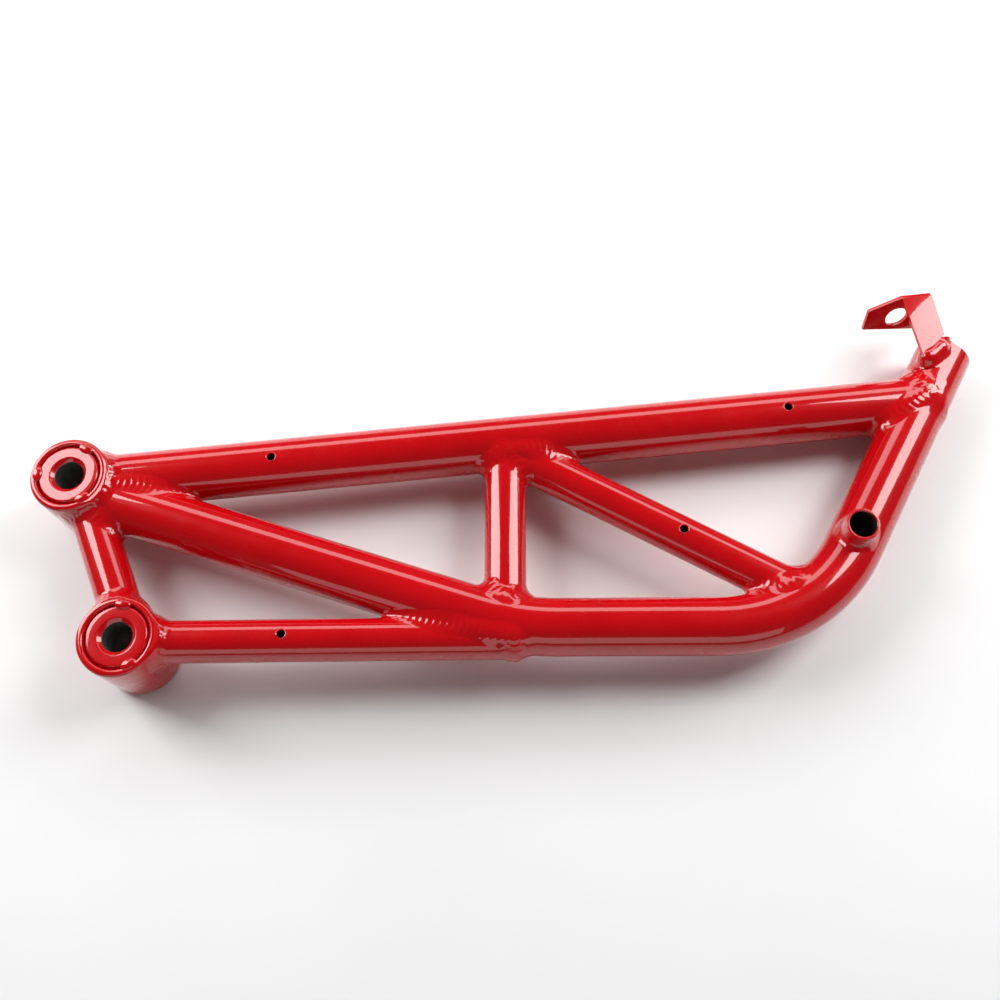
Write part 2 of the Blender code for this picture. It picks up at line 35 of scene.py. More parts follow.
# Driving dimensions, the same layout as the CAD part
PLANE_HEIGHT = 22.70
PLANE_SLOPE_X = -0.014
PLANE_SLOPE_Y = -0.055
MAIN_R = 15.0
MAIN_WALL = 2.0
STRUT_R = 11.0
STRUT_WALL = 1.6
MAIN_SIDES = 144
STRUT_SIDES = 112
TOP_TUBE_HEIGHT = 23.9
TOP_TUBE_SLOPE = 0.0982
DOWN_RUN_HEIGHT = -81.62
DOWN_RUN_SLOPE = -0.3288
LOWER_RUN_Y = -82.0
GENTLE_BEND = (1.2, LOWER_RUN_Y)
GENTLE_BEND_RADIUS = 140.0
BIG_BEND = (153.5, LOWER_RUN_Y)
BIG_BEND_RADIUS = 84.0
UPRIGHT_END = (243.5, 77.0)
LOWER_TUBE_Y = -87.6
LOWER_TUBE_END_X = 0.0
VERTICAL_STRUT_X = -4.5
DIAGONAL_HEIGHT = 16.88
DIAGONAL_SLOPE = -0.5565
DIAGONAL_END_X = 151.0
END_STRUT_SHIFT = 3.4
UPPER_BOSS = (-236.7, -0.2)
LOWER_BOSS = (-199.4, -88.9)
BOSS_R = 20.8
BOSS_HEIGHT = 44.0
BOSS_RIM = 2.2                      # rounding of the boss's rims as the welds see it
SLEEVE_INNER = 16.6
BUSH_BORE_R = 7.8
SADDLE_R = 19.0                     # tubes are cut back to this radius inside a boss
THREADED_BUSH = (177.3, -35.2)
THREADED_BUSH_R = 8.5
THREADED_BUSH_BORE_R = 6.8
THREADED_BUSH_TOP = 47.0
THREADED_BUSH_FOOT = 13.0
HOLE_R = 2.4
RIM_R = 0.42                        # the rolled edge round each small hole
RIM_OFFSET = 0.15
RIM_SINK = 0.18
RIM_SIDES = 16
TOP_TUBE_HOLES = ((-129.8, 10.4), (149.4, 38.0))
DIAGONAL_HOLES = ((88.8, -32.0),)
LOWER_TUBE_HOLES = ((-116.9, -87.6),)

# Tacks and bracket
TACK_CIRCLE = 16.6
TACK_SPREAD = 15.0                  # degrees to each side of a tack's middle
TACK_SINK = 0.7
TACK_HALF_WIDTH = 2.7
TACK_HEIGHT = 1.7
UPPER_TACKS = (62.0, 178.0, 305.0)
LOWER_TACKS = (85.0, 300.0)
BRACKET_EDGE = 0.55
BRACKET_LUMPS = (                   # centre and radius of the weld lumps at the bracket's foot
    ((229.0, 68.2, 30.0), 5.2),
    ((232.9, 71.2, 29.4), 4.4),
    ((236.6, 74.6, 29.6), 4.6),
)

# Weld looks
NET_STEP = 0.75                     # cell size of the weld skins
FILLET_BLEND = 6.0                  # reach of the smooth blend between two surfaces
BEAD_HEIGHT = 1.5
BEAD_REACH = 7.0                    # how far from its seam a bead swells the surface
RIPPLE_PITCH = 3.4
RIPPLE_DEPTH = 0.11
BEAD_MARGIN = 12.0                  # a skin is sought this far round its seams
LUMP_MARGIN = 7.0                   # and this far round its lumps
LOWEST_SKIN = 0.6                   # the search for skins starts here; settling carries one slightly lower
LEAST_LIFT = 0.01                   # a skin is kept where it stands at least this far out of the bare metal
SKIN_SINK = 0.04                    # weld skins run this far under the tubes where they die out
SEAM_STEP = 0.4
SEAM_EASING = 6

PLANE_NORMAL = np.array([-PLANE_SLOPE_X, -PLANE_SLOPE_Y, 1.0])
PLANE_NORMAL /= np.linalg.norm(PLANE_NORMAL)


# ---------------------------------------------------------------- centre lines

def unit(vector):
    return vector / np.linalg.norm(vector)


def on_plane(x, y):
    return np.array([x, y, PLANE_HEIGHT + PLANE_SLOPE_X * x + PLANE_SLOPE_Y * y])


class Straight:
    """A straight run of a centre line."""

    def __init__(self, start, end):
        self.start = start
        self.span = end - start

    def nearest(self, points):
        share = (points - self.start) @ self.span / (self.span @ self.span)
        return self.start + np.clip(share, 0.0, 1.0)[:, None] * self.span

    def stations(self):
        return [self.start, self.start + self.span]


class Bend:
    """A circular arc of a centre line, from spoke towards ahead."""

    def __init__(self, centre, spoke, ahead, radius, turn):
        self.centre = centre
        self.spoke = spoke
        self.ahead = ahead
        self.radius = radius
        self.turn = turn

    def at(self, angle):
        reach = np.cos(angle)[..., None] * self.spoke + np.sin(angle)[..., None] * self.ahead
        return self.centre + self.radius * reach

    def nearest(self, points):
        relative = points - self.centre
        angle = np.arctan2(relative @ self.ahead, relative @ self.spoke)
        return self.at(np.clip(angle, 0.0, self.turn))

    def stations(self):
        steps = max(8, int(math.degrees(self.turn) * 0.8))
        return list(self.at(np.linspace(0.0, self.turn, steps + 1)))


def route(start, corners, end):
    """Straights and bends from start to end, turning each (corner, radius)."""
    runs = []
    here = start
    stops = [corner for corner, _ in corners] + [end]
    for index, (corner, radius) in enumerate(corners):
        arriving = unit(corner - here)
        leaving = unit(stops[index + 1] - corner)
        turn = math.acos(float(arriving @ leaving))
        tangent = radius * math.tan(turn / 2)
        bend_start = corner - arriving * tangent
        centre = corner + unit(leaving - arriving) * math.hypot(radius, tangent)
        runs.append(Straight(here, bend_start))
        runs.append(Bend(centre, unit(bend_start - centre), arriving, radius, turn))
        here = corner + leaving * tangent
    runs.append(Straight(here, end))
    return runs


def top_meets_upright():
    upright_run = (UPRIGHT_END[0] - BIG_BEND[0]) / (UPRIGHT_END[1] - BIG_BEND[1])
    x_at_zero = BIG_BEND[0] - upright_run * BIG_BEND[1]
    y = (TOP_TUBE_HEIGHT + TOP_TUBE_SLOPE * x_at_zero) / (1 - TOP_TUBE_SLOPE * upright_run)
    return x_at_zero + upright_run * y, y


def along_top(x):
    return on_plane(x, TOP_TUBE_HEIGHT + TOP_TUBE_SLOPE * x)


def along_diagonal(x):
    return on_plane(x, DIAGONAL_HEIGHT + DIAGONAL_SLOPE * x)


class Tube:
    """A round tube: its centre line and its outer and inner radius."""

    def __init__(self, runs, radius, wall):
        self.runs = runs
        self.radius = radius
        self.wall = wall

    def offset(self, points):
        """Vectors to the points from the nearest places on the centre line."""
        offsets = np.stack([points - run.nearest(points) for run in self.runs])
        closest = np.argmin((offsets ** 2).sum(axis=2), axis=0)
        return offsets[closest, np.arange(len(points))]

    def distance(self, points):
        return np.linalg.norm(self.offset(points), axis=1) - self.radius

    def stations(self):
        places = []
        for run in self.runs:
            for place in run.stations():
                if not places or np.linalg.norm(place - places[-1]) > 1e-6:
                    places.append(place)
        return np.array(places)


class Post:
    """An upright round post with softly rounded rims."""

    def __init__(self, centre, radius, foot, top, rim):
        self.centre = centre
        self.radius = radius
        self.foot = foot
        self.top = top
        self.rim = rim

    def distance(self, points):
        out = np.hypot(points[:, 0] - self.centre[0], points[:, 1] - self.centre[1]) - self.radius + self.rim
        half = (self.top - self.foot) / 2
        past = np.abs(points[:, 2] - self.foot - half) - half + self.rim
        outside = np.hypot(np.maximum(out, 0.0), np.maximum(past, 0.0))
        return outside + np.minimum(np.maximum(out, past), 0.0) - self.rim


MAIN = Tube(
    route(
        on_plane(UPPER_BOSS[0], DOWN_RUN_HEIGHT + DOWN_RUN_SLOPE * UPPER_BOSS[0]),
        [(on_plane(*GENTLE_BEND), GENTLE_BEND_RADIUS), (on_plane(*BIG_BEND), BIG_BEND_RADIUS)],
        on_plane(*UPRIGHT_END),
    ),
    MAIN_R,
    MAIN_WALL,
)
TOP = Tube([Straight(along_top(UPPER_BOSS[0]), on_plane(*top_meets_upright()))], MAIN_R, MAIN_WALL)
LOWER = Tube([Straight(on_plane(*LOWER_BOSS), on_plane(LOWER_TUBE_END_X, LOWER_TUBE_Y))], STRUT_R, STRUT_WALL)
VERTICAL = Tube(
    [Straight(on_plane(VERTICAL_STRUT_X, LOWER_RUN_Y), along_top(VERTICAL_STRUT_X))],
    STRUT_R,
    STRUT_WALL,
)
DIAGONAL = Tube(
    [Straight(along_diagonal(VERTICAL_STRUT_X), along_diagonal(DIAGONAL_END_X))],
    STRUT_R,
    STRUT_WALL,
)
END = Tube(
    [Straight(
        on_plane(LOWER_BOSS[0] + END_STRUT_SHIFT, LOWER_BOSS[1]),
        on_plane(UPPER_BOSS[0] + END_STRUT_SHIFT / 3, UPPER_BOSS[1]),
    )],
    STRUT_R,
    STRUT_WALL,
)
UPPER_POST = Post(UPPER_BOSS, BOSS_R, 0.0, BOSS_HEIGHT, BOSS_RIM)
LOWER_POST = Post(LOWER_BOSS, BOSS_R, 0.0, BOSS_HEIGHT, BOSS_RIM)
BUSH_POST = Post(THREADED_BUSH, THREADED_BUSH_R, THREADED_BUSH_FOOT, THREADED_BUSH_TOP, 0.5)


# ---------------------------------------------------------------- meshes

def make_object(name, vertices, faces):
    mesh = bpy.data.meshes.new(name)
    points = (np.asarray(vertices) + CENTRING) * METRES_PER_MM
    mesh.from_pydata(points.tolist(), [], [tuple(map(int, face)) for face in faces])
    mesh.update()
    thing = bpy.data.objects.new(name, mesh)
    bpy.context.scene.collection.objects.link(thing)
    return thing


def turn_faces_out(thing):
    work = bmesh.new()
    work.from_mesh(thing.data)
    bmesh.ops.recalc_face_normals(work, faces=work.faces)
    work.to_mesh(thing.data)
    work.free()
    return thing


def ring_points(centre, tangent, radius, sides):
    reference = PLANE_NORMAL if abs(tangent @ PLANE_NORMAL) < 0.9 else np.array([1.0, 0.0, 0.0])
    side = unit(np.cross(reference, tangent))
    front = np.cross(tangent, side)
    angles = np.linspace(0.0, 2 * math.pi, sides, endpoint=False)[:, None]
    return centre + radius * (np.cos(angles) * side + np.sin(angles) * front)


def tangents_along(places):
    ahead = np.vstack([places[1:], places[-1:]])
    behind = np.vstack([places[:1], places[:-1]])
    steps = ahead - behind
    return steps / np.linalg.norm(steps, axis=1)[:, None]


def join_rings(count, sides, closed):
    faces = []
    for ring in range(count if closed else count - 1):
        here = ring * sides
        there = ((ring + 1) % count) * sides
        for step in range(sides):
            following = (step + 1) % sides
            faces.append((here + step, here + following, there + following, there + step))
    return faces


def make_pipe(name, tube, sides):
    """The hollow tube, with the edges at its two ends eased."""
    places = tube.stations()
    tangents = tangents_along(places)
    inner = tube.radius - tube.wall
    ease = 0.5
    rings = [ring_points(places[0] + tangents[0] * ease, tangents[0], tube.radius, sides)]
    for place, tangent in zip(places[1:-1], tangents[1:-1]):
        rings.append(ring_points(place, tangent, tube.radius, sides))
    last = tangents[-1]
    rings.append(ring_points(places[-1] - last * ease, last, tube.radius, sides))
    for turn in (0.35, 0.7, 1.05, math.pi / 2):
        middle = places[-1] - last * ease * (1 - math.sin(turn))
        rings.append(ring_points(middle, last, tube.radius - ease * (1 - math.cos(turn)), sides))
    rings.append(ring_points(places[-1], last, inner + ease, sides))
    rings.append(ring_points(places[-1] - last * ease, last, inner, sides))
    for place, tangent in zip(places[-2:0:-1], tangents[-2:0:-1]):
        rings.append(ring_points(place, tangent, inner, sides))
    rings.append(ring_points(places[0], tangents[0], inner, sides))
    rings.append(ring_points(places[0], tangents[0], tube.radius - ease, sides))
    return turn_faces_out(make_object(name, np.vstack(rings), join_rings(len(rings), sides, closed=True)))


def make_rod(places, radius, sides):
    """A solid round bar, used as a cutter."""
    places = np.asarray(places)
    tangents = tangents_along(places)
    rings = np.vstack([ring_points(p, t, radius, sides) for p, t in zip(places, tangents)])
    faces = join_rings(len(places), sides, closed=False)
    faces.append(tuple(reversed(range(sides))))
    faces.append(tuple(range(len(rings) - sides, len(rings))))
    return turn_faces_out(make_object("cutter", rings, faces))


def cut(thing, tool):
    modifier = thing.modifiers.new("cut", "BOOLEAN")
    modifier.operation = "DIFFERENCE"
    modifier.solver = "EXACT"
    modifier.object = tool
    bpy.context.view_layer.objects.active = thing
    bpy.ops.object.modifier_apply(modifier=modifier.name)
    bpy.data.objects.remove(tool)


def polish_tube(thing, tube):
    """Give the tube's skin the exact radial normals of a round tube, and leave cut walls as they are."""
    mesh = thing.data
    mesh.shade_smooth()
    corners = np.empty(len(mesh.loops), dtype=np.int64)
    mesh.loops.foreach_get("vertex_index", corners)
    points = np.empty(len(mesh.vertices) * 3)
    mesh.vertices.foreach_get("co", points)
    points = points.reshape(-1, 3) / METRES_PER_MM - CENTRING
    offsets = tube.offset(points)
    lengths = np.linalg.norm(offsets, axis=1)
    radial = offsets / np.maximum(lengths, 1e-9)[:, None]
    normals = np.zeros((len(corners), 3))
    for polygon in mesh.polygons:
        span = slice(polygon.loop_start, polygon.loop_start + polygon.loop_total)
        face_normal = np.array(polygon.normal)
        directions = radial[corners[span]]
        facing = directions @ face_normal
        if np.abs(facing).min() > 0.985:
            normals[span] = directions * np.sign(facing.mean())
        else:
            normals[span] = face_normal
    mesh.normals_split_custom_set(normals.tolist())


# ---------------------------------------------------------------- turned pieces

def rounded_profile(corners, steps=5):
    """A (radius, height) outline whose corners are eased; each corner is (radius, height, ease)."""
    outline = []
    count = len(corners)
    for index, (radius, height, ease) in enumerate(corners):
        here = np.array([radius, height])
        before = np.array(corners[index - 1][:2])
        after = np.array(corners[(index + 1) % count][:2])
        if ease == 0.0:
            outline.append(here)
            continue
        start = here + unit(before - here) * ease
        end = here + unit(after - here) * ease
        for step in range(steps + 1):
            t = step / steps
            outline.append(start * (1 - t) ** 2 + here * 2 * t * (1 - t) + end * t ** 2)
    return outline


def make_turned(name, centre, corners, sides):
    outline = rounded_profile(corners)
    angles = np.linspace(0.0, 2 * math.pi, sides, endpoint=False)
    rings = []
    for radius, height in outline:
        rings.append(np.stack([
            centre[0] + radius * np.cos(angles),
            centre[1] + radius * np.sin(angles),
            np.full(sides, height),
        ], axis=1))
    thing = make_object(name, np.vstack(rings), join_rings(len(rings), sides, closed=True))
    turn_faces_out(thing)
    thing.data.shade_smooth()
    thing.data.set_sharp_from_angle(angle=math.radians(50))
    return thing


def both_faces(half_outline):
    """An outline from its upper half, mirrored to the foot."""
    lower = [(radius, BOSS_HEIGHT - height, ease) for radius, height, ease in reversed(half_outline)]
    return half_outline + lower


def make_sleeve(name, centre):
    return make_turned(name, centre, both_faces([
        (SLEEVE_INNER, 41.6, 0.0),
        (SLEEVE_INNER + 0.5, 43.4, 0.4),
        (SLEEVE_INNER + 1.2, 44.0, 0.5),
        (BOSS_R, 44.0, 2.3),
    ]), 160)


def make_inner_bush(name, centre):
    return make_turned(name, centre, both_faces([
        (BUSH_BORE_R, 41.7, 0.3),
        (9.8, 43.6, 0.5),
        (15.4, 43.6, 0.7),
        (16.5, 41.6, 0.0),
    ]), 160)


def make_threaded_bush(name):
    bore = THREADED_BUSH_BORE_R
    outer = THREADED_BUSH_R
    top = THREADED_BUSH_TOP
    return make_turned(name, THREADED_BUSH, [
        (bore, THREADED_BUSH_FOOT, 0.2),
        (bore, top - 0.5, 0.3),
        (bore + 0.5, top, 0.2),
        (outer, top, 0.6),
        (outer, top - 2.6, 0.2),
        (outer - 0.18, top - 2.9, 0.1),
        (outer, top - 3.2, 0.2),
        (outer, THREADED_BUSH_FOOT, 0.2),
    ], 128)


# ---------------------------------------------------------------- weld skins

def trace_seam(far, joint, radius, neighbours, samples=220):
    """Where a tube, followed from far towards its joint, first meets its neighbours, all the way round."""
    ahead = unit(joint - far)
    starts = ring_points(far, ahead, radius, samples)
    reach = np.zeros(samples)
    limit = np.linalg.norm(joint - far)
    for _ in range(120):
        places = starts + reach[:, None] * ahead
        gap = np.min([neighbour.distance(places) for neighbour in neighbours], axis=0)
        reach = np.minimum(reach + np.maximum(gap, 0.0), limit)
    return even_loop(starts + reach[:, None] * ahead)


def even_loop(places):
    """The closed line again, with its places spread evenly and closely."""
    loop = np.vstack([places, places[:1]])
    steps = np.linalg.norm(np.diff(loop, axis=0), axis=1)
    along = np.concatenate([[0.0], np.cumsum(steps)])
    count = int(along[-1] / SEAM_STEP)
    wanted = np.linspace(0.0, along[-1], count, endpoint=False)
    even = np.stack([np.interp(wanted, along, loop[:, axis]) for axis in range(3)], axis=1)
    for _ in range(SEAM_EASING):
        even = (np.roll(even, 1, axis=0) + even + np.roll(even, -1, axis=0)) / 3
    return even


def smooth_union(fields, reach):
    """One field from several, with the corners between them filled."""
    result = fields[0]
    for field in fields[1:]:
        share = np.maximum(reach - np.abs(result - field), 0.0) / reach
        result = np.minimum(result, field) - share ** 3 * reach / 6
    return result


class Seam:
    """A closed weld bead's path, with a swell that wanders a little along it."""

    def __init__(self, line, height=BEAD_HEIGHT, reach=BEAD_REACH, phase=0.0):
        self.line = line
        self.height = height
        self.reach = reach
        self.phase = phase
        ahead = np.roll(line, -1, axis=0) - np.roll(line, 1, axis=0)
        self.ahead = ahead / np.linalg.norm(ahead, axis=1)[:, None]
        self.ripples = round(len(line) * SEAM_STEP / RIPPLE_PITCH)

    def place(self, points):
        """Each point's position round the seam, in radians, and its distance from it."""
        squares = (points ** 2).sum(axis=1)[:, None] - 2 * points @ self.line.T + (self.line ** 2).sum(axis=1)
        nearest = np.argmin(squares, axis=1)
        offset = points - self.line[nearest]
        slide = (offset * self.ahead[nearest]).sum(axis=1)
        slide = np.clip(slide, -SEAM_STEP, SEAM_STEP)
        away = np.linalg.norm(offset - slide[:, None] * self.ahead[nearest], axis=1)
        return (nearest + slide / SEAM_STEP) / len(self.line) * 2 * math.pi, away

    def swell(self, points):
        """How much the bead lifts the surface at each point."""
        lift = np.zeros(len(points))
        for begin in range(0, len(points), 20000):
            block = slice(begin, begin + 20000)
            turn, away = self.place(points[block])
            wander = 1 + 0.16 * np.sin(3 * turn + self.phase) + 0.1 * np.sin(7 * turn + 2 * self.phase)
            height = self.height * wander
            reach = self.reach * (1 + 0.1 * np.sin(5 * turn + 1.7 * self.phase))
            fall = np.clip(1 - (away / reach) ** 2, 0.0, 1.0)
            depth = RIPPLE_DEPTH * fall * np.clip(away / 1.5, 0.0, 1.0)
            lift[block] = height * fall ** 2.2 * (1 + depth * np.cos(self.ripples * turn + 0.9 * away))
        return lift


class Joint:
    """The pieces that meet at a joint and the beads laid between them."""

    def __init__(self, pieces, seams, blobs=(), reach=FILLET_BLEND, ceiling=100.0):
        self.pieces = pieces
        self.seams = seams
        self.blobs = blobs
        self.reach = reach
        self.ceiling = ceiling

    def bare(self, points):
        return np.min([piece.distance(points) for piece in self.pieces], axis=0)

    def filled(self, points):
        field = smooth_union([piece.distance(points) for piece in self.pieces], self.reach)
        for centre, radius in self.blobs:
            blob = np.linalg.norm(points - np.array(centre), axis=1) - radius
            field = smooth_union([field, blob], self.reach)
        return np.maximum(field, points[:, 2] - self.ceiling)

    def beaded(self, points):
        lift = np.zeros(len(points))
        for seam in self.seams:
            lift = np.maximum(lift, seam.swell(points))
        return np.maximum(self.filled(points) - lift, points[:, 2] - self.ceiling)

    def off_the_bores(self, points):
        """False over the open middle of each post."""
        clear = np.ones(len(points), dtype=bool)
        for piece in self.pieces:
            if isinstance(piece, Post):
                out = np.hypot(points[:, 0] - piece.centre[0], points[:, 1] - piece.centre[1])
                clear &= out > piece.radius - piece.rim - 0.4
        return clear


def slope(field, points, step=0.05):
    here = field(points)
    moved = [(field(points + step * axis) - here) / step for axis in np.eye(3)]
    return here, np.stack(moved, axis=1)


def settle(field, points, rounds):
    """Move points on to the field's zero surface."""
    for _ in range(rounds):
        value, gradient = slope(field, points)
        size = np.maximum((gradient ** 2).sum(axis=1), 0.05)
        points = points - np.clip(value / size, -1.0, 1.0)[:, None] * gradient
    return points


def net_faces(inside, index):
    """Quads round every grid edge that crosses the surface."""
    faces = []
    for axis in range(3):
        second = (axis + 1) % 3
        third = (axis + 2) % 3
        order = (axis, second, third)
        solid = np.transpose(inside, order)
        cells = np.transpose(index, order)
        crossing = solid[:-1, 1:-1, 1:-1] != solid[1:, 1:-1, 1:-1]
        i, j, k = np.nonzero(crossing)
        ring = (cells[i, j, k], cells[i, j + 1, k], cells[i, j + 1, k + 1], cells[i, j, k + 1])
        quad = np.stack(ring, axis=1)
        flipped = ~solid[i, j + 1, k + 1]
        quad[flipped] = quad[flipped][:, ::-1]
        faces.append(quad)
    return np.vstack(faces)


def make_weld(name, joint, low, high):
    """The skin of weld metal that stands out of the bare pieces at a joint."""
    low = np.array(low, dtype=float)
    counts = np.ceil((np.array(high) - low) / NET_STEP).astype(int)
    axes = [low[i] + NET_STEP * np.arange(counts[i] + 1) for i in range(3)]
    grid = np.stack(np.meshgrid(*axes, indexing="ij"), axis=-1).reshape(-1, 3)
    inside = joint.filled(grid).reshape(counts + 1) < 0
    corner_sum = np.zeros(counts, dtype=int)
    for dx in (0, 1):
        for dy in (0, 1):
            for dz in (0, 1):
                corner_sum += inside[dx:counts[0] + dx, dy:counts[1] + dy, dz:counts[2] + dz]
    mixed = (corner_sum > 0) & (corner_sum < 8)
    index = np.full(counts, -1)
    index[mixed] = np.arange(mixed.sum())
    points = low + NET_STEP * (np.argwhere(mixed) + 0.5)
    faces = net_faces(inside, index)
    faces = faces[(faces >= 0).all(axis=1)]
    points = settle(joint.filled, points, 3)
    lift = joint.bare(points)
    for seam in joint.seams:
        lift = np.maximum(lift, seam.swell(points))
    faces = faces[(lift[faces] > LEAST_LIFT).any(axis=1)]
    faces = faces[joint.off_the_bores(points)[faces].all(axis=1)]
    used, compact = np.unique(faces, return_inverse=True)
    faces = compact.reshape(faces.shape)
    points = settle(lambda places: joint.beaded(places) + SKIN_SINK, points[used], 3)
    normals = slope(joint.beaded, points)[1]
    normals /= np.linalg.norm(normals, axis=1)[:, None]
    thing = make_object(name, points, faces)
    thing.data.shade_smooth()
    thing.data.normals_split_custom_set_from_vertices(normals.tolist())
    return thing


def halfway(tube, share=0.5):
    run = tube.runs[0]
    return run.start + run.span * share


def first(tube):
    return tube.runs[0].start


def last(tube):
    run = tube.runs[-1]
    return run.start + run.span


def around(places, margin):
    places = np.vstack(places)
    return places.min(axis=0) - margin, places.max(axis=0) + margin


def build_welds():
    """Every joint's weld skin, with the CAD beads that it stands for."""
    tasks = []

    top_ring = trace_seam(halfway(TOP, 0.3), first(TOP), MAIN_R, [UPPER_POST])
    main_ring = trace_seam(halfway(MAIN, 0.6), first(MAIN), MAIN_R, [UPPER_POST, TOP])
    end_ring = trace_seam(halfway(END), last(END), STRUT_R, [UPPER_POST, MAIN])
    seams = [Seam(top_ring, phase=0.4), Seam(main_ring, phase=1.9), Seam(end_ring, phase=3.0)]
    tasks.append((
        "weld_skin_upper_boss", Joint([UPPER_POST, TOP, MAIN, END], seams, ceiling=BOSS_HEIGHT - 0.1),
        [top_ring, main_ring, end_ring],
        ("weld_top_tube_to_upper_boss", "weld_main_tube_to_upper_boss", "weld_end_strut_to_upper_boss"),
    ))

    lower_ring = trace_seam(halfway(LOWER), first(LOWER), STRUT_R, [LOWER_POST])
    end_foot = trace_seam(halfway(END), first(END), STRUT_R, [LOWER_POST])
    tasks.append((
        "weld_skin_lower_boss",
        Joint([LOWER_POST, LOWER, END], [Seam(lower_ring, phase=2.2), Seam(end_foot, phase=0.9)],
              ceiling=BOSS_HEIGHT - 0.1),
        [lower_ring, end_foot],
        ("weld_lower_tube_to_lower_boss", "weld_end_strut_to_lower_boss"),
    ))

    valley = trace_seam(halfway(LOWER), last(LOWER), STRUT_R, [MAIN])
    tasks.append((
        "weld_skin_lower_tube", Joint([MAIN, LOWER], [Seam(valley, phase=1.2)]),
        [valley],
        ("weld_lower_tube_to_main_tube",),
    ))

    vertical_top = trace_seam(halfway(VERTICAL), last(VERTICAL), STRUT_R, [TOP])
    diagonal_top = trace_seam(halfway(DIAGONAL), first(DIAGONAL), STRUT_R, [TOP, VERTICAL])
    tasks.append((
        "weld_skin_strut_tops",
        Joint([TOP, VERTICAL, DIAGONAL], [Seam(vertical_top, phase=0.2), Seam(diagonal_top, phase=2.6)]),
        [vertical_top, diagonal_top],
        ("weld_vertical_strut_to_top_tube", "weld_diagonal_strut_to_top_tube"),
    ))

    vertical_foot = trace_seam(halfway(VERTICAL), first(VERTICAL), STRUT_R, [MAIN])
    tasks.append((
        "weld_skin_vertical_foot", Joint([MAIN, VERTICAL], [Seam(vertical_foot, phase=1.5)]),
        [vertical_foot],
        ("weld_vertical_strut_to_main_tube",),
    ))

    diagonal_foot = trace_seam(halfway(DIAGONAL), last(DIAGONAL), STRUT_R, [MAIN])
    tasks.append((
        "weld_skin_diagonal_foot", Joint([MAIN, DIAGONAL], [Seam(diagonal_foot, phase=2.9)]),
        [diagonal_foot],
        ("weld_diagonal_strut_to_main_tube",),
    ))

    upright_ring = trace_seam(halfway(TOP, 0.8), last(TOP), MAIN_R, [MAIN])
    tasks.append((
        "weld_skin_upright", Joint([MAIN, TOP], [Seam(upright_ring, phase=0.7)]),
        [upright_ring],
        ("weld_top_tube_to_upright",),
    ))

    bush_top = np.array([*THREADED_BUSH, THREADED_BUSH_TOP])
    bush_ring = trace_seam(bush_top, on_plane(*THREADED_BUSH), THREADED_BUSH_R, [MAIN])
    tasks.append((
        "weld_skin_threaded_bush",
        Joint([MAIN, BUSH_POST], [Seam(bush_ring, height=1.0, reach=4.6, phase=1.1)], reach=3.6),
        [bush_ring],
        ("weld_threaded_bush_to_main_tube",),
    ))

    lumps = np.array([lump[0] for lump in BRACKET_LUMPS])
    tasks.append((
        "weld_skin_bracket", Joint([MAIN], [], blobs=BRACKET_LUMPS),
        [lumps],
        ("weld_bracket_to_upright",),
    ))

    skins = []
    for name, joint, rings, nodes in tasks:
        low, high = around(rings, BEAD_MARGIN if joint.seams else LUMP_MARGIN)
        low[2] = max(low[2], LOWEST_SKIN)
        skin = make_weld(name, joint, low, high)
        skins.append((skin, nodes))
    return skins


# ---------------------------------------------------------------- tacks, hole rims and the bracket

def make_mound(name, line, half_width, height, sides=32):
    """A smooth lump of weld metal along a short line, dying away at both ends."""
    places = np.asarray(line)
    tangents = tangents_along(places)
    shares = np.linspace(-1.0, 1.0, len(places))
    rings = []
    for place, tangent, share in zip(places, tangents, shares):
        size = math.sqrt(max(1.0 - share ** 2, 0.0)) + 0.02
        ring = ring_points(place, tangent, half_width * size, sides) - place
        ring[:, 2] *= height / half_width
        rings.append(place + ring)
    total = len(places) * sides
    faces = join_rings(len(places), sides, closed=False)
    faces.append(tuple(reversed(range(sides))))
    faces.append(tuple(range(total - sides, total)))
    thing = turn_faces_out(make_object(name, np.vstack(rings), faces))
    thing.data.shade_smooth()
    return thing


def build_tacks():
    """The tacks across the groove between sleeve and inner bush."""
    tacks = []
    for label, boss, angles in (("upper", UPPER_BOSS, UPPER_TACKS), ("lower", LOWER_BOSS, LOWER_TACKS)):
        for number, middle in enumerate(angles, 1):
            turn = np.radians(np.linspace(middle - TACK_SPREAD, middle + TACK_SPREAD, 25))
            line = np.stack([
                boss[0] + TACK_CIRCLE * np.cos(turn),
                boss[1] + TACK_CIRCLE * np.sin(turn),
                np.full(len(turn), BOSS_HEIGHT - TACK_SINK),
            ], axis=1)
            name = f"tack_{label}_boss_{number}"
            tacks.append((make_mound(f"{name}_skin", line, TACK_HALF_WIDTH, TACK_HEIGHT), name))
    return tacks


def make_hole_rim(name, tube, spot):
    """The rolled edge round a small hole, lying on the tube's surface."""
    foot = on_plane(*spot)
    turn = np.linspace(0.0, 2 * math.pi, 73)
    line = foot + (HOLE_R + RIM_OFFSET) * np.stack([np.cos(turn), np.sin(turn), 0 * turn], axis=1)
    line[:, 2] += tube.radius
    for _ in range(12):
        line[:, 2] -= tube.distance(line)
    line[:, 2] -= RIM_SINK
    rings = [ring_points(p, t, RIM_R, RIM_SIDES) for p, t in zip(line[:-1], tangents_along(line)[:-1])]
    thing = turn_faces_out(make_object(name, np.vstack(rings), join_rings(len(rings), RIM_SIDES, closed=True)))
    thing.data.shade_smooth()
    return thing


def build_hole_rims():
    rims = []
    for tube, spots, node in (
        (TOP, TOP_TUBE_HOLES, "top_tube"),
        (DIAGONAL, DIAGONAL_HOLES, "diagonal_strut"),
        (LOWER, LOWER_TUBE_HOLES, "lower_tube"),
    ):
        for number, spot in enumerate(spots, 1):
            rims.append((make_hole_rim(f"{node}_hole_rim_{number}", tube, spot), node))
    return rims


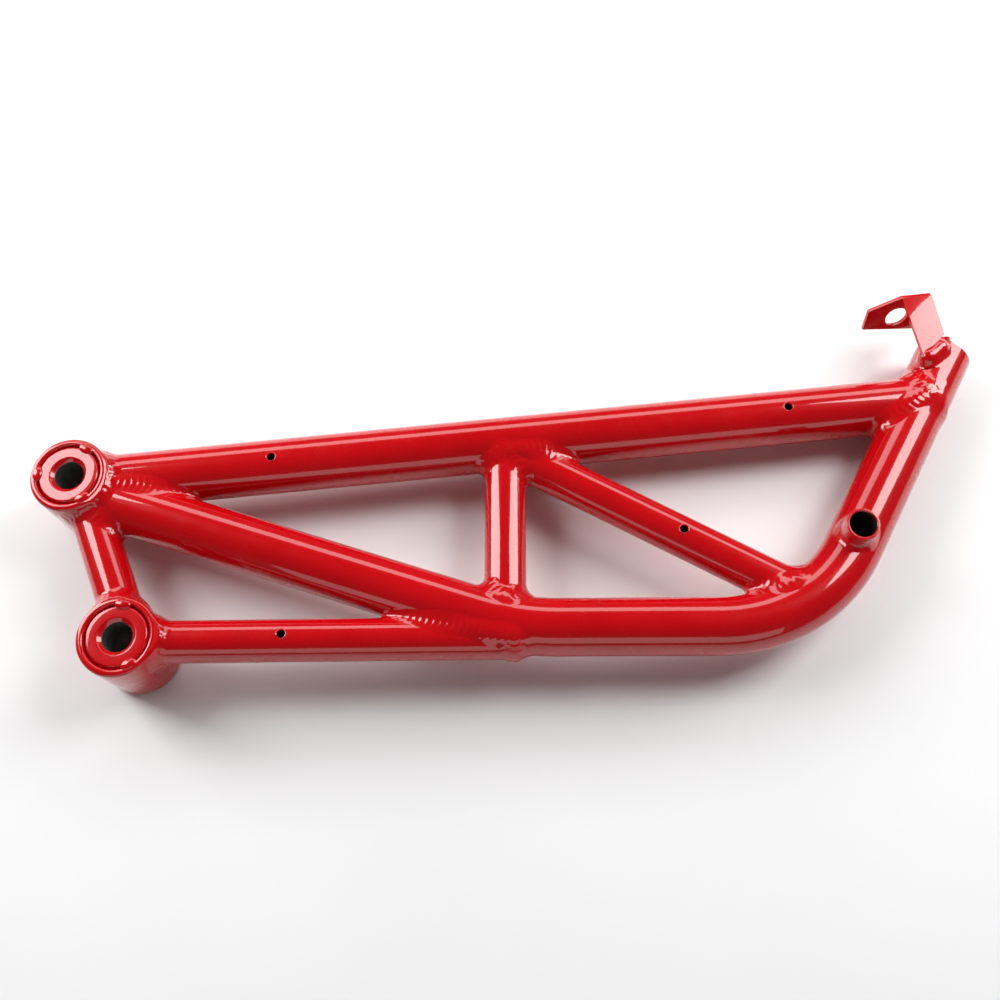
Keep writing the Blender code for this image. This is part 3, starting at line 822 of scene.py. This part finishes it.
def build_bracket(node):
    """The folded bracket, with its sheared edges eased."""
    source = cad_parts[node]
    mesh = bpy.data.meshes.new(f"{node}_skin")
    corners = [source.matrix_world @ vertex.co for vertex in source.data.vertices]
    mesh.from_pydata(corners, [], [tuple(polygon.vertices) for polygon in source.data.polygons])
    thing = bpy.data.objects.new(mesh.name, mesh)
    bpy.context.scene.collection.objects.link(thing)
    work = bmesh.new()
    work.from_mesh(mesh)
    bmesh.ops.remove_doubles(work, verts=work.verts, dist=1e-6)
    bmesh.ops.recalc_face_normals(work, faces=work.faces)
    bmesh.ops.dissolve_limit(work, angle_limit=math.radians(1), verts=work.verts, edges=work.edges)
    work.to_mesh(mesh)
    work.free()
    bevel = thing.modifiers.new("eased", "BEVEL")
    bevel.width = BRACKET_EDGE * METRES_PER_MM
    bevel.segments = 4
    bevel.limit_method = "ANGLE"
    bevel.angle_limit = math.radians(25)
    bpy.context.view_layer.objects.active = thing
    bpy.ops.object.modifier_apply(modifier=bevel.name)
    mesh.shade_smooth()
    mesh.set_sharp_from_angle(angle=math.radians(24))
    return thing


# ---------------------------------------------------------------- tubes with their cuts

def hollow(tube):
    """A cutter that clears the inside of a tube."""
    return make_rod(tube.stations(), tube.radius - tube.wall * 0.6, 64)


def post_cutter(centre, radius, foot=-20.0):
    low = np.array([*centre, foot])
    high = np.array([*centre, 70.0])
    return make_rod([low, high], radius, 96)


def drill(spot):
    foot = on_plane(*spot)
    return make_rod([foot, foot + np.array([0.0, 0.0, 25.0])], HOLE_R, 48)


def build_tubes():
    """Each hollow tube, cut back to what it meets, with its small holes drilled."""
    upper_saddle = partial(post_cutter, UPPER_BOSS, SADDLE_R)
    lower_saddle = partial(post_cutter, LOWER_BOSS, SADDLE_R)
    bush_seat = partial(post_cutter, THREADED_BUSH, THREADED_BUSH_R - 0.5, THREADED_BUSH_FOOT)
    inside_main = partial(hollow, MAIN)
    inside_top = partial(hollow, TOP)
    plans = (
        ("top_tube_skin", TOP, MAIN_SIDES, (upper_saddle, inside_main), TOP_TUBE_HOLES, "top_tube"),
        ("main_tube_skin", MAIN, MAIN_SIDES, (upper_saddle, bush_seat), (), "main_tube"),
        ("lower_tube_skin", LOWER, STRUT_SIDES, (lower_saddle, inside_main), LOWER_TUBE_HOLES, "lower_tube"),
        ("vertical_strut_skin", VERTICAL, STRUT_SIDES, (inside_top, inside_main), (), "vertical_strut"),
        ("diagonal_strut_skin", DIAGONAL, STRUT_SIDES, (inside_top, inside_main), DIAGONAL_HOLES,
         "diagonal_strut"),
        ("end_strut_skin", END, STRUT_SIDES, (upper_saddle, lower_saddle), (), "end_strut"),
    )
    tubes = []
    for name, tube, sides, cutters, holes, node in plans:
        thing = make_pipe(name, tube, sides)
        for cutter in cutters:
            cut(thing, cutter())
        for spot in holes:
            cut(thing, drill(spot))
        polish_tube(thing, tube)
        tubes.append((thing, node))
    return tubes


# ---------------------------------------------------------------- materials

def new_material(name):
    material = bpy.data.materials.new(name)
    material.use_nodes = True
    tree = material.node_tree
    return material, tree, tree.nodes["Principled BSDF"]


def noise(tree, scale, detail=3.0, stretch=None):
    coordinates = tree.nodes.new("ShaderNodeTexCoord")
    texture = tree.nodes.new("ShaderNodeTexNoise")
    texture.inputs["Scale"].default_value = scale
    texture.inputs["Detail"].default_value = detail
    if stretch is None:
        tree.links.new(coordinates.outputs["Object"], texture.inputs["Vector"])
        return texture
    mapping = tree.nodes.new("ShaderNodeMapping")
    mapping.inputs["Scale"].default_value = stretch
    tree.links.new(coordinates.outputs["Object"], mapping.inputs["Vector"])
    tree.links.new(mapping.outputs["Vector"], texture.inputs["Vector"])
    return texture


def blend_by(tree, texture, low, high, first_colour, second_colour):
    ramp = tree.nodes.new("ShaderNodeValToRGB")
    ramp.color_ramp.elements[0].position = low
    ramp.color_ramp.elements[1].position = high
    ramp.color_ramp.elements[0].color = first_colour
    ramp.color_ramp.elements[1].color = second_colour
    tree.links.new(texture.outputs["Fac"], ramp.inputs["Fac"])
    return ramp


def spread(tree, texture, low, high):
    rescale = tree.nodes.new("ShaderNodeMapRange")
    rescale.inputs["From Min"].default_value = 0.3
    rescale.inputs["From Max"].default_value = 0.7
    rescale.inputs["To Min"].default_value = low
    rescale.inputs["To Max"].default_value = high
    tree.links.new(texture.outputs["Fac"], rescale.inputs["Value"])
    return rescale


def bump(tree, texture, strength, distance, under=None):
    node = tree.nodes.new("ShaderNodeBump")
    node.inputs["Strength"].default_value = strength
    node.inputs["Distance"].default_value = distance
    tree.links.new(texture.outputs["Fac"], node.inputs["Height"])
    if under is not None:
        tree.links.new(under.outputs["Normal"], node.inputs["Normal"])
    return node


def enamel(name, wave, peel):
    """Thick gloss red enamel: a deep colour coat under clear gloss, with a faint orange peel."""
    material, tree, shader = new_material(name)
    shade = blend_by(tree, noise(tree, 28.0), 0.3, 0.7, (0.47, 0.0, 0.0025, 1), (0.53, 0.0008, 0.004, 1))
    tree.links.new(shade.outputs["Color"], shader.inputs["Base Color"])
    gloss = spread(tree, noise(tree, 90.0, detail=4.0), 0.20, 0.30)
    tree.links.new(gloss.outputs["Result"], shader.inputs["Roughness"])
    long_wave = bump(tree, noise(tree, 75.0, detail=1.0), wave, 0.0006)
    fine_peel = bump(tree, noise(tree, 520.0, detail=1.0), peel, 0.0001, under=long_wave)
    tree.links.new(long_wave.outputs["Normal"], shader.inputs["Normal"])
    tree.links.new(fine_peel.outputs["Normal"], shader.inputs["Coat Normal"])
    shader.inputs["Specular IOR Level"].default_value = 0.12
    shader.inputs["Coat Weight"].default_value = 1.0
    shader.inputs["Coat Roughness"].default_value = 0.035
    shader.inputs["Coat IOR"].default_value = 1.55
    return material


def bare_steel(name):
    """Turned steel in the bolt bores, with fine rings from the tool."""
    material, tree, shader = new_material(name)
    rings = noise(tree, 9.0, detail=2.0, stretch=(4.0, 4.0, 260.0))
    shade = blend_by(tree, rings, 0.3, 0.7, (0.30, 0.29, 0.28, 1), (0.52, 0.51, 0.50, 1))
    tree.links.new(shade.outputs["Color"], shader.inputs["Base Color"])
    finish = spread(tree, rings, 0.3, 0.5)
    tree.links.new(finish.outputs["Result"], shader.inputs["Roughness"])
    marks = bump(tree, rings, 0.25, 0.0002)
    tree.links.new(marks.outputs["Normal"], shader.inputs["Normal"])
    shader.inputs["Metallic"].default_value = 1.0
    return material


def bore_painted_shade(name):
    """Dark, oily threads inside the bush."""
    # Painted shade: the threads inside the bush's bore are coloured near-black, standing for the shadow deep
    # in the blind bore, with a faint pattern of thread rings.
    material, tree, shader = new_material(name)
    threads = noise(tree, 9.0, detail=2.0, stretch=(4.0, 4.0, 300.0))
    shade = blend_by(tree, threads, 0.3, 0.7, (0.012, 0.004, 0.004, 1), (0.03, 0.008, 0.008, 1))
    tree.links.new(shade.outputs["Color"], shader.inputs["Base Color"])
    finish = spread(tree, threads, 0.4, 0.6)
    tree.links.new(finish.outputs["Result"], shader.inputs["Roughness"])
    return material


def pale_floor(name):
    material, tree, shader = new_material(name)
    shade = blend_by(tree, noise(tree, 6.0), 0.3, 0.7, (0.86, 0.86, 0.86, 1), (0.89, 0.89, 0.89, 1))
    tree.links.new(shade.outputs["Color"], shader.inputs["Base Color"])
    shader.inputs["Roughness"].default_value = 0.6
    return material


# ---------------------------------------------------------------- light and camera

def aim(thing, target, up):
    """Point a light or camera's -Z at the target, with its +Y as near up as it can be."""
    back = unit(np.array(thing.location) - np.array(target))
    right = unit(np.cross(np.array(up), back))
    over = np.cross(back, right)
    matrix = np.eye(4)
    matrix[:3, 0] = right
    matrix[:3, 1] = over
    matrix[:3, 2] = back
    matrix[:3, 3] = thing.location
    thing.matrix_world = Matrix(matrix.tolist())


def softbox(name, place, target, width, height, power):
    light = bpy.data.lights.new(name, "AREA")
    light.shape = "RECTANGLE"
    light.size = width
    light.size_y = height
    light.energy = power
    holder = bpy.data.objects.new(name, light)
    bpy.context.scene.collection.objects.link(holder)
    holder.location = place
    aim(holder, target, (0.0, 1.0, 0.0) if abs(place[2]) > 1.2 else (0.0, 0.0, 1.0))
    return holder


def build_studio():
    floor_mesh = bpy.data.meshes.new("floor")
    reach = 3.0
    floor_mesh.from_pydata([(-reach, -reach, 0), (reach, -reach, 0), (reach, reach, 0), (-reach, reach, 0)],
                           [], [(0, 1, 2, 3)])
    floor = bpy.data.objects.new("floor", floor_mesh)
    floor.location = (0.0, 0.0, -0.0004)
    bpy.context.scene.collection.objects.link(floor)
    floor.data.materials.append(pale_floor("floor_paper"))

    middle = (0.0, 0.0, 0.02)
    softbox("softbox_right", (0.95, 0.50, 0.80), middle, 0.55, 1.1, 16.0)
    softbox("softbox_left", (-0.95, 0.45, 0.65), middle, 0.50, 1.1, 14.5)
    softbox("softbox_back", (0.0, 1.35, 0.95), middle, 2.4, 0.5, 12.0)
    softbox("softbox_front", (0.0, -1.60, 0.60), middle, 2.6, 0.7, 6.5)

    world = bpy.data.worlds.new("studio")
    world.use_nodes = True
    world.node_tree.nodes["Background"].inputs["Color"].default_value = (1.0, 1.0, 1.0, 1.0)
    world.node_tree.nodes["Background"].inputs["Strength"].default_value = 0.07
    bpy.context.scene.world = world
    bpy.context.scene.view_settings.view_transform = "Standard"


def build_camera():
    data = bpy.data.cameras.new("camera")
    data.sensor_width = 36.0
    data.lens = 39.6
    camera = bpy.data.objects.new("camera", data)
    bpy.context.scene.collection.objects.link(camera)
    camera.location = (0.01313, -0.22738, 0.574)
    aim(camera, (-0.00773, 0.00028, 0.0), (0.0, 1.0, 0.0))
    bpy.context.scene.camera = camera


# ---------------------------------------------------------------- the whole piece

def hand_over(thing, material, nodes):
    thing.data.materials.append(material)
    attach(thing, "root")
    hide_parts(*nodes)


def paint_bore(thing, wall_material, bore_radius, centre):
    """Give the bore's wall a material of its own."""
    thing.data.materials.append(wall_material)
    limit = (bore_radius + 0.12) * METRES_PER_MM
    middle = (np.array([*centre, 0.0]) + CENTRING) * METRES_PER_MM
    for polygon in thing.data.polygons:
        centre_point = polygon.center
        if math.hypot(centre_point.x - middle[0], centre_point.y - middle[1]) < limit:
            polygon.material_index = 1


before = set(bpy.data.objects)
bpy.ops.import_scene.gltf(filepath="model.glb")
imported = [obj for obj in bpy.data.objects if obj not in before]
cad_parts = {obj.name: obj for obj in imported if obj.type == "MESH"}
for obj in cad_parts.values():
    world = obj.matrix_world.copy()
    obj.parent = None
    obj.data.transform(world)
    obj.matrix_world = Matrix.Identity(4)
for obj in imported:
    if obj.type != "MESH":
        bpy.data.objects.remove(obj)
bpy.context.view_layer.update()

paint = enamel("red_enamel", wave=0.05, peel=0.05)
weld_paint = enamel("red_enamel_over_weld", wave=0.22, peel=0.10)
steel = bare_steel("bore_steel")

for piece, node in build_tubes():
    hand_over(piece, paint, (node,))
for piece, nodes in build_welds():
    hand_over(piece, weld_paint, nodes)
for side, centre in (("upper", UPPER_BOSS), ("lower", LOWER_BOSS)):
    sleeve = make_sleeve(f"{side}_sleeve_skin", centre)
    hand_over(sleeve, paint, (f"{side}_boss_sleeve",))
    inner = make_inner_bush(f"{side}_bush_skin", centre)
    hand_over(inner, paint, (f"{side}_boss_bush",))
    paint_bore(inner, steel, BUSH_BORE_R, centre)
bush = make_threaded_bush("threaded_bush_skin")
hand_over(bush, paint, ("threaded_bush",))
# the threaded bush's bore is coloured near-black as painted shade
paint_bore(bush, bore_painted_shade("thread_shadow"), THREADED_BUSH_BORE_R, THREADED_BUSH)
for piece, node in build_tacks():
    hand_over(piece, weld_paint, (node,))
for piece, node in build_hole_rims():
    hand_over(piece, paint, (node,))
hand_over(build_bracket("tail_bracket"), paint, ("tail_bracket",))

build_studio()
build_camera()
